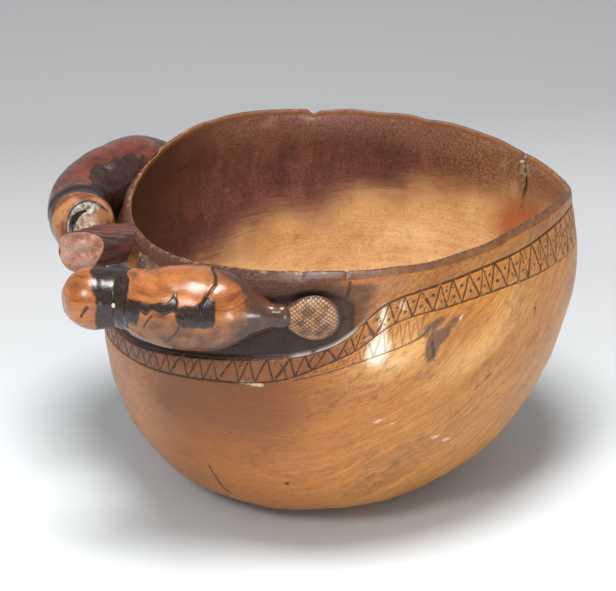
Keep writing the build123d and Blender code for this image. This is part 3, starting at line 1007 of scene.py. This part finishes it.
def make_fill():
    """Grey filler in the crack near the nose, over the rim and down the inside."""
    down = np.concatenate([np.linspace(-2.4, 0, 14), np.linspace(0, 19, 90)[1:]])
    angle = np.radians(CRACK_AT + 0.25 * np.sin(np.maximum(down, 0) * 0.5))
    rim = rim_height(angle)
    z = rim - np.abs(down) - 1.15 - 0.6 * smoothstep(3, 0, np.abs(down))
    wall = wall_thickness((z - FLOOR) / (HEIGHT - FLOOR))
    inset = np.where(down < 0, 0.2, (wall - 0.45) * smoothstep(-0.5, 3.0, down))
    centre = egg_points(z, angle, half_length(z / HEIGHT) - inset)
    radial = np.stack([np.cos(angle), np.sin(angle), 0 * angle], -1)
    sideways = np.stack([-np.sin(angle), np.cos(angle), 0 * angle], -1)
    around = np.arange(24) / 24 * 2 * pi
    width = crack_half_width(down) * (1 + 0.12 * np.sin(down * 1.9))
    upward = smoothstep(4, -1, down)[:, None] * (0, 0, 1.0)
    normal = radial * smoothstep(-1, 4, down)[:, None] + upward
    rings = (centre[:, None] + sideways[:, None] * (width[:, None] * np.cos(around))[..., None]
             + normal[:, None] * (0.62 * np.sin(around))[None, :, None])
    rings = rings + 0.12 * ripple(rings, 1.5, 81)[..., None]
    return ringed_piece("rim_crack_fill_skin", rings, {"grain": grain_of(rings)})


def make_eyes():
    """Two small round pegs in the front beaver's mask."""
    rings, columns, radius = 10, 20, 0.75
    lift = np.linspace(0.02, 1, rings)[:, None] * pi * 0.97
    around = np.arange(columns) / columns * 2 * pi
    ball = np.stack([np.sin(lift) * np.cos(around), np.sin(lift) * np.sin(around),
                     -np.cos(lift) + 0 * around], -1)
    grids = [np.array(centre) + radius * ball for centre in EYES]
    return [ringed_piece(f"eye_{n}_skin", grid, {"grain": grain_of(grid)})
            for n, grid in enumerate(grids)]


# ---------------------------------------------------------------- materials
def bowl_material():
    w = Shader("bowl_wood")
    grain = w.field("grain", "Vector")
    zone, drop = w.field("zone"), w.field("drop")
    streak = w.noise(grain, (0.05, 0.07, 0.42), 5.0, 0.7)
    fine = w.noise(grain, (0.16, 0.22, 1.7), 5.0, 0.75)
    blotch = w.noise(grain, (0.045, 0.06, 0.07), 3.0)
    grit = w.noise(grain, 1.3, 4.0, 0.7)
    figure = w.sum(w.times(streak, 0.42), w.times(fine, 0.58))
    outside = w.step(zone, 0.35, 0.3)
    inside = w.step(zone, 0.72, 0.8)

    # outside: golden to rusty brown, streaked, with darker flecks along the grain
    base = w.ramp(figure, (0.30, 138, 80, 34), (0.44, 170, 107, 45), (0.54, 186, 125, 54),
                  (0.70, 212, 154, 76))
    # pale patches: partly rubbed wood, partly a painted glow of light
    base = w.lay(base, (236, 186, 116), w.step(w.sum("lightened", w.times(fine, 0.6)), 0.45, 1.3), 0.6)
    base = w.lay(base, (160, 88, 36), "rusty", 0.6)
    base = w.lay(base, (146, 90, 46), w.step(blotch, 0.50, 0.66), 0.35)
    # darker below the band: partly darker wood, partly the beaver's shadow painted on
    base = w.lay(base, (84, 40, 10), "shade_under_band", 0.70)
    flecks = w.step(w.noise(grain, (0.35, 0.45, 2.6), 3.0, 0.6), 0.57, 0.67)
    base = w.lay(base, (104, 62, 34), flecks, 0.55)
    base = w.lay(base, (112, 68, 38), w.step(grit, 0.54, 0.70), 0.32)
    freckles = w.step(w.noise(grain, (0.30, 0.36, 0.55), 4.0, 0.75), 0.50, 0.64)
    base = w.lay(base, (104, 64, 36), freckles, w.step(blotch, 0.38, 0.58), 0.50)
    base = w.lay(base, (98, 54, 36), "collar", w.step(grit, 0.25, 0.7), 0.62)
    # painted highlight: near-white where the wall shines
    painted_highlight = w.frayed("painted_highlight", grit, 0.9)
    base = w.lay(base, (255, 240, 214), w.step(painted_highlight, 0.2, 1.1), 0.9)
    base = w.lay(base, (74, 48, 40), w.step(w.sum("stain", w.times(grit, 0.7)), 0.62, 1.05), 0.8)
    base = w.lay(base, (214, 196, 178), w.step(w.sum("bleached", w.times(grit, 0.6)), 0.75, 1.05), 0.75)
    scratch = w.frayed("scratch", grit, 1.6)
    base = w.lay(base, (222, 200, 180), w.step(scratch, 1.0, 0.2), 0.62)
    scar = w.frayed("scar", grit, 0.8)
    base = w.lay(base, (44, 28, 22), w.step(scar, 0.62, 0.25), 0.85)

    # the band is darker than the wall and the panel round the tails is nearly black
    base = w.lay(base, (100, 56, 30), "shaded_band", 0.6)
    panel = w.step(w.frayed("panel", blotch, 0.8), 0.12, 0.75)
    panel_tone = w.between(grit, 0.42, 0.66, (22, 11, 9), (54, 31, 24))
    base = w.lay(base, panel_tone, panel, 0.94)

    # engraved lines, drawn in the unrolled band's own coordinates
    cell, across = w.unrolled("band")
    _, wedge = w.unrolled("wedge")
    wander = w.times(w.math("SUBTRACT", w.noise(grain, 0.40, 3.0), 0.5), 0.42)
    band_mm, wedge_mm = w.field("band_mm"), w.field("wedge_mm")

    def saw(value):
        """Distance to the nearest whole number."""
        return w.math("PINGPONG", value, 0.5)

    def near(value, place_at):
        """Distance to a place."""
        return w.math("ABSOLUTE", w.math("SUBTRACT", value, place_at))

    def chevrons(column, slope, rising_slope, spacing, from_mm, to_mm):
        """Lines that rise and fall across the band, with an uneven edge."""
        nearest = w.math("MINIMUM", saw(w.math("SUBTRACT", column, slope)),
                         saw(w.sum(column, rising_slope)))
        return w.step(w.sum(w.times(nearest, spacing), wander), from_mm, to_mm)

    def dot(cell_shift, level):
        du = w.times(saw(w.sum(cell, cell_shift)), dot_mm)
        dv = w.times(w.math("SUBTRACT", across, level), band_mm)
        return w.math("SQRT", w.sum(w.times(du, du), w.times(dv, dv)))

    line_mm, dot_mm, fan_mm = 4.7, 5.4, 2.7   # mm for one cell, across the lines of each pattern
    half = w.times(across, 0.5)
    zigzag = chevrons(cell, half, half, line_mm, 0.33, 0.10)
    crossing = chevrons(w.sum(cell, 0.46), half, half, line_mm, 0.30, 0.08)
    broken = w.step(w.noise(grain, 0.12, 2.0), 0.46, 0.56)
    upper_edge = w.sum(w.times(near(across, 1.0), band_mm), w.times(wander, 0.6))
    lower_edge = w.sum(w.times(near(across, 0.0), band_mm), w.times(wander, 0.6))
    fan = chevrons(w.times(cell, 2.0), w.times(wedge, 0.35), w.times(wedge, 0.5), fan_mm, 0.30, 0.10)
    in_wedge = w.times(w.step(wedge, 0.0, 0.05), w.step(wedge, 1.0, 0.95), w.step(wedge_mm, 0.4, 1.4))
    wedge_foot = w.step(w.times(near(wedge, 0.0), wedge_mm), 0.36, 0.12)
    dots = w.sum(w.math("MINIMUM", dot(0.0, 0.66), dot(0.5, 0.34)), wander)
    pricks = w.step(w.noise(grain, 0.75, 2.0), 0.62, 0.68)
    lines = w.most(
        w.times(zigzag, "in_band"),
        w.times(crossing, "in_band", "crossed", broken, 0.85),
        w.step(upper_edge, 0.50, 0.22),
        w.times(w.step(lower_edge, 0.36, 0.12), "lower_line"),
        w.times(fan, in_wedge, 0.45),
        w.times(wedge_foot, w.step(wedge_mm, 0.3, 1.0), 0.8),
        w.times(w.step(dots, 0.62, 0.30), "dots", "in_band"),
        w.times(pricks, "dots", "in_band", 0.8))
    ink = w.times(lines, outside, w.step(w.noise(grain, 0.6, 3.0), 0.26, 0.46))
    base = w.lay(base, (40, 26, 20), ink, 0.88)

    # painted highlight along the ridge at the band's top edge
    ridge_glint = w.times("ridge_glint", w.step(w.noise(grain, 0.18, 3.0), 0.36, 0.50))
    base = w.lay(base, (206, 200, 190), ridge_glint, 0.7)

    # rim: a grey-brown bevel outside, pale along its crest with wear and painted edge highlights
    bevel = w.between(w.noise(grain, 0.2, 4.0, 0.6), 0.30, 0.70, (72, 42, 31), (112, 70, 48))
    rim = w.times(w.step(drop, 3.0, 1.9), w.step(zone, 0.1, 0.45), w.step(zone, 0.72, 0.55))
    base = w.lay(base, bevel, rim, 0.85)
    base = w.lay(base, (112, 66, 44), w.step(zone, 0.7, 0.75), w.step(zone, 0.85, 0.8), 0.6)
    ledge = w.between(grit, 0.34, 0.72, (52, 28, 20), (92, 56, 38))
    base = w.lay(base, ledge, "ledge", 0.9)

    # inside: golden below, stained maroon and brown above and at the handle's end
    fine_in = w.noise(grain, (0.09, 0.13, 1.1), 5.0, 0.75)
    low = w.ramp(w.sum(w.times(fine_in, 0.30), w.times(grit, 0.32), w.times(blotch, 0.38)),
                 (0.32, 166, 116, 66), (0.46, 206, 156, 102), (0.56, 226, 180, 126),
                 (0.72, 242, 206, 154))
    low = w.lay(low, (128, 84, 48), w.step(w.noise(grain, 0.25, 5.0, 0.75), 0.52, 0.70), 0.30)
    orange = w.frayed("inner_orange", grit, 0.9)
    low = w.lay(low, (160, 76, 26), w.step(orange, 0.1, 1.0), 0.85)
    drips = w.noise(grain, (0.16, 0.16, 0.045), 4.0, 0.6)
    high = w.ramp(w.sum(w.times(drips, 0.35), w.times(grit, 0.35), w.times(blotch, 0.3)),
                  (0.34, 66, 34, 36), (0.48, 102, 60, 58), (0.58, 136, 88, 76), (0.74, 164, 120, 98))
    high = w.lay(high, w.between(grit, 0.35, 0.65, (142, 98, 88), (188, 150, 138)), "inner_rim", 0.75)
    high = w.lay(high, w.between(grit, 0.35, 0.65, (116, 72, 46), (182, 138, 92)), "inner_nose", 0.65)
    high = w.lay(high, (32, 14, 15), "inner_deep", 0.90)
    high = w.lay(high, (190, 160, 132), w.step(w.sum("inner_pale", w.times(grit, 0.7)), 0.75, 1.2),
                 0.55)
    stained = w.frayed("inner_dark", drips, 0.5)
    stained = w.frayed(stained, fine_in, 0.8)
    stained = w.frayed(stained, grit, 0.5)
    lining = w.mix(w.step(stained, 0.05, 0.95), low, high)
    base = w.lay(base, lining, inside)

    # crest of the rim: a dark line, pale wear with painted edge highlights, a pale chip with a painted
    # glint, and the crack's filler
    base = w.lay(base, (56, 36, 28), "crest", 0.6)
    chips_and_glints = w.times("worn_and_glinting", w.step(w.noise(grain, 0.5, 4.0, 0.75), 0.46, 0.66))
    base = w.lay(base, (196, 150, 112), chips_and_glints, 0.75)
    # pale chip with a painted glint on it
    chip_and_glint = w.step(w.frayed("chip_and_glint", grit, 1.2), 0.4, 0.7)
    base = w.lay(base, (250, 228, 176), chip_and_glint)
    filler = w.step(w.frayed("crack_fill", grit, 1.4), 0.25, 0.9)
    base = w.lay(base, (122, 104, 84), filler, 0.8)

    height = w.sum(w.times(fine, 0.5), w.times(grit, 0.35))
    height = w.math("SUBTRACT", height, w.times(ink, 1.2))
    rough = w.sum(w.times(grit, 0.16), w.times("panel", 0.08), w.times(inside, 0.14), 0.27)
    return w.finish(base, rough, w.bump(height, 0.0003, 0.75), coat=0.07, coat_rough=0.3, level=0.34)


def figure_material(name, light, middle, dark, speckled, black_share):
    """Oiled wood of a beaver from three shades, with speckles and black paint as strong as given."""
    w = Shader(name)
    grain = w.field("grain", "Vector")
    streak = w.noise(grain, (0.05, 0.09, 0.42), 4.0, 0.6)
    grit = w.noise(grain, 0.9, 4.0, 0.65)
    soft = w.noise(grain, 0.16, 3.0, 0.6)
    base = w.ramp(w.sum(w.times(streak, 0.6), w.times(soft, 0.4)), (0.36, *dark), (0.47, *middle),
                  (0.60, *light))
    base = w.lay(base, dark, w.step(grit, 0.56, 0.72), speckled)
    base = w.lay(base, w.between(soft, 0.4, 0.6, (116, 66, 36), (182, 124, 76)), "ring", 0.85)
    base = w.lay(base, w.between(soft, 0.40, 0.62, (56, 34, 20), (122, 80, 44)), "belly", 0.78)
    black = w.between(grit, 0.40, 0.66, (13, 11, 10), (38, 32, 27))
    ragged = w.times(w.math("SUBTRACT", grit, 0.5), 0.7)
    base = w.lay(base, (46, 36, 31), w.step(w.sum("grey", ragged), 0.1, 1.0), 0.9)
    # painted shade on the underside and on the side facing the bowl
    base = w.lay(base, (48, 32, 24), w.step(w.sum("shade_below", ragged), 0.3, 0.9), 0.8)
    base = w.lay(base, (84, 44, 28), "back", w.step(soft, 0.25, 0.6), 0.85)
    base = w.lay(base, dark, w.step(w.noise(grain, 0.32, 5.0, 0.7), 0.52, 0.66), 0.45)
    base = w.lay(base, black, w.step(w.sum("dark", ragged), 0.18, 0.82), black_share)
    # painted highlight along the lower edge of the chest
    base = w.lay(base, (128, 108, 92), w.step("edge", 0.3, 0.8), 0.7)
    base = w.lay(base, (30, 20, 16), w.step("cut", 0.25, 0.75), 0.85)
    # the hollow in the rear head's broken end: pale grey, weathered wood with a painted sheen that
    # lightens its shade
    crescent_and_sheen = w.between(grit, 0.38, 0.6, (88, 80, 70), (178, 170, 156))
    base = w.lay(base, crescent_and_sheen, "face")
    base = w.lay(base, w.between(streak, 0.4, 0.6, (98, 58, 30), (138, 88, 50)), "slope")
    height = w.sum(w.times(grit, 0.5), w.times(streak, 0.5))
    rough = w.sum(w.times(grit, 0.16), 0.16, w.times("face", 0.25))
    return w.finish(base, rough, w.bump(height, 0.0002, 0.6), coat=0.27, coat_rough=0.19, level=0.40)


def tail_material():
    w = Shader("hatched_tail")
    grain = w.field("grain", "Vector")
    grit = w.noise(grain, 0.8, 4.0, 0.65)
    soft = w.noise(grain, 0.2, 3.0)
    base = w.between(soft, 0.38, 0.62, (94, 60, 36), (170, 124, 84))
    base = w.lay(base, (52, 32, 22), w.step("hatch", 0.2, 0.9), 0.7)
    base = w.lay(base, (40, 28, 23), w.step("dark", 0.2, 0.9), 0.85)
    rough = w.sum(w.times(grit, 0.2), 0.2)
    return w.finish(base, rough, w.bump(grit, 0.00015, 0.5), coat=0.2, coat_rough=0.15)


def lug_material():
    w = Shader("worn_wood")
    grain = w.field("grain", "Vector")
    streak = w.noise(grain, (0.07, 0.5, 0.5), 4.0, 0.6)
    grit = w.noise(grain, 1.1, 4.0, 0.7)
    base = w.between(streak, 0.38, 0.62, (52, 24, 18), (104, 52, 34))
    base = w.lay(base, (26, 14, 12), "cut", 0.8)
    pale = w.between(w.noise(grain, 0.30, 5.0, 0.75), 0.36, 0.64, (146, 88, 56), (178, 142, 122))
    ends = w.step(w.frayed("end", grit, 0.8), 0.3, 0.7)
    base = w.lay(base, pale, ends, 0.9)
    rough = w.math("SUBTRACT", w.sum(w.times(grit, 0.2), 0.60), w.times("end", 0.40))
    height = w.sum(w.times(streak, 0.5), w.times(grit, 0.4))
    return w.finish(base, rough, w.bump(height, 0.0003, 0.7), coat=0.03, coat_rough=0.2)


def web_material():
    w = Shader("ledge_wood")
    grain = w.field("grain", "Vector")
    grit = w.noise(grain, 1.0, 5.0, 0.7)
    soft = w.noise(grain, 0.22, 3.0, 0.6)
    base = w.between(soft, 0.40, 0.62, (76, 50, 38), (126, 92, 70))
    base = w.lay(base, (158, 134, 104), w.step(grit, 0.52, 0.66), 0.7)
    base = w.lay(base, (42, 30, 24), w.step(grit, 0.42, 0.32), 0.7)
    # painted shadow: near-black below the top, in the gap between lug, rim and beaver
    base = w.lay(base, (24, 20, 16), w.step("top_of_web", 0.6, 0.1))
    return w.finish(base, w.sum(w.times(grit, 0.3), 0.3), w.bump(grit, 0.0004, 0.8), coat=0.05,
                    coat_rough=0.3)


def plain_material(name, first, second, size, rough):
    w = Shader(name)
    grain = w.field("grain", "Vector")
    grit = w.noise(grain, size, 4.0, 0.65)
    return w.finish(w.mix(w.step(grit, 0.4, 0.6), first, second), w.sum(w.times(grit, 0.2), rough),
                    w.bump(grit, 0.0002, 0.6))


# ---------------------------------------------------------------- camera, floor and lights
def added(name, data):
    """A new object in the scene."""
    thing = bpy.data.objects.new(name, data)
    bpy.context.scene.collection.objects.link(thing)
    return thing


def aimed(thing, place, aim):
    """Puts a camera or light at a place, looking at another one."""
    thing.location = place
    thing.rotation_mode = "QUATERNION"
    thing.rotation_quaternion = (Vector(aim) - Vector(place)).to_track_quat("-Z", "Y")


def make_camera():
    """A camera low in front of the bowl, with a long lens, aimed a little above the bowl's middle."""
    azimuth, elevation, distance = radians(-16.0), radians(27.0), 900.0
    back = Vector((sin(azimuth) * cos(elevation), -cos(azimuth) * cos(elevation), sin(elevation)))
    right = Vector((cos(azimuth), sin(azimuth), 0))
    up = back.cross(right)
    middle = Vector((0, 0, 50))
    data = bpy.data.cameras.new("camera")
    data.sensor_width, data.lens = 36.0, 165.2
    data.clip_start, data.clip_end = 0.05, 20.0
    camera = added("camera", data)
    aimed(camera, (middle + back * distance) * MM, (middle + right * -2.35 + up * 8.28) * MM)
    bpy.context.scene.camera = camera


def make_light(name, place, aim, size, power):
    data = bpy.data.lights.new(name, "AREA")
    data.energy, data.shape, data.size = power, "DISK", size
    aimed(added(name, data), place, aim)


def make_floor():
    """A pale sweep that darkens away from the camera: painted shading that stands in for the light
    falling off.
    """
    mesh = bpy.data.meshes.new("floor")
    mesh.from_pydata([(-6, -6, 0), (6, -6, 0), (6, 6, 0), (-6, 6, 0)], [], [(0, 1, 2, 3)])
    floor = added("floor", mesh)
    w = Shader("pale_floor")
    place = w.add("ShaderNodeTexCoord", {}, "Object")
    turned = w.add("ShaderNodeMapping", {"Vector": place, "Rotation": (0, 0, radians(5))})
    _, ahead, _ = w.split(turned)
    # painted shading: the floor's colour darkens with distance, standing in for the falling light
    shade = w.ramp(w.add("ShaderNodeMapRange", {"Value": ahead, "From Min": -0.30, "From Max": 0.34}),
                   (0.0, 255, 255, 255), (0.22, 240, 240, 240), (0.47, 219, 219, 218),
                   (0.90, 166, 166, 167))
    # painted light: a cool tint near the bowl that cancels the warm light it bounces onto the floor
    away = w.add("ShaderNodeVectorMath", {"Vector": place}, "Value", operation="LENGTH")
    cooled_against_bounce = w.mix(w.step(away, 0.19, 0.05), shade, (245, 252, 255), "MULTIPLY")
    w.plug(w.surface.inputs["Base Color"], cooled_against_bounce)
    w.surface.inputs["Roughness"].default_value = 0.9
    w.surface.inputs["Specular IOR Level"].default_value = 0.1
    floor.data.materials.append(w.material)


# ---------------------------------------------------------------- the scene
def place_piece(piece, node, slot, material):
    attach(piece, "root")
    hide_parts(node)
    piece.data.materials.append(material)


make_camera()
place_piece(make_bowl(), "bowl_shell", "bowl_wood", bowl_material())
front_wood = figure_material("front_figure", (182, 114, 58), (152, 88, 42), (104, 54, 28), 0.35, 0.96)
rear_wood = figure_material("rear_figure", (118, 58, 38), (90, 40, 30), (52, 24, 20), 0.5, 0.80)
tail_wood = tail_material()
FIGURES = {"front": (FRONT_SPINE, 1, 28.5, front_wood), "rear": (REAR_SPINE, -1, 26.0, rear_wood)}
for side, (spine, hand, neck, figure_wood) in FIGURES.items():
    for piece, node in make_beaver(side, spine, hand, neck):
        place_piece(piece, node, "figure_wood", figure_wood)
    place_piece(*make_tail(side), "figure_wood", tail_wood)
place_piece(make_lug(), "handle_lug", "worn_wood", lug_material())
place_piece(make_web(), "front_web", "bowl_wood", web_material())
filler = plain_material("crack_filler", (112, 90, 68), (160, 144, 118), 0.4, 0.5)
place_piece(make_fill(), "rim_crack_fill", "crack_filler", filler)
peg = plain_material("eye_peg", (170, 156, 132), (214, 204, 184), 2.0, 0.2)
for eye in make_eyes():
    place_piece(eye, "front_beaver_eyes", "eye_peg", peg)

make_floor()
world = bpy.data.worlds.new("world")
bpy.context.scene.world = world
world.use_nodes = True
sky = world.node_tree.nodes["Background"]
sky.inputs["Color"].default_value = (0.93, 0.96, 1.0, 1)
sky.inputs["Strength"].default_value = 0.45
bpy.context.scene.view_settings.view_transform = "Standard"
make_light("overhead", (-0.07, -0.15, 1.0), (0, 0, 0.05), 0.42, 10.8)
make_light("front_left", (-0.62, -0.60, 0.78), (0, 0, 0.06), 0.25, 3.6)
make_light("low_front", (0.24, -0.96, 0.07), (0, 0, 0.06), 0.16, 2.2)
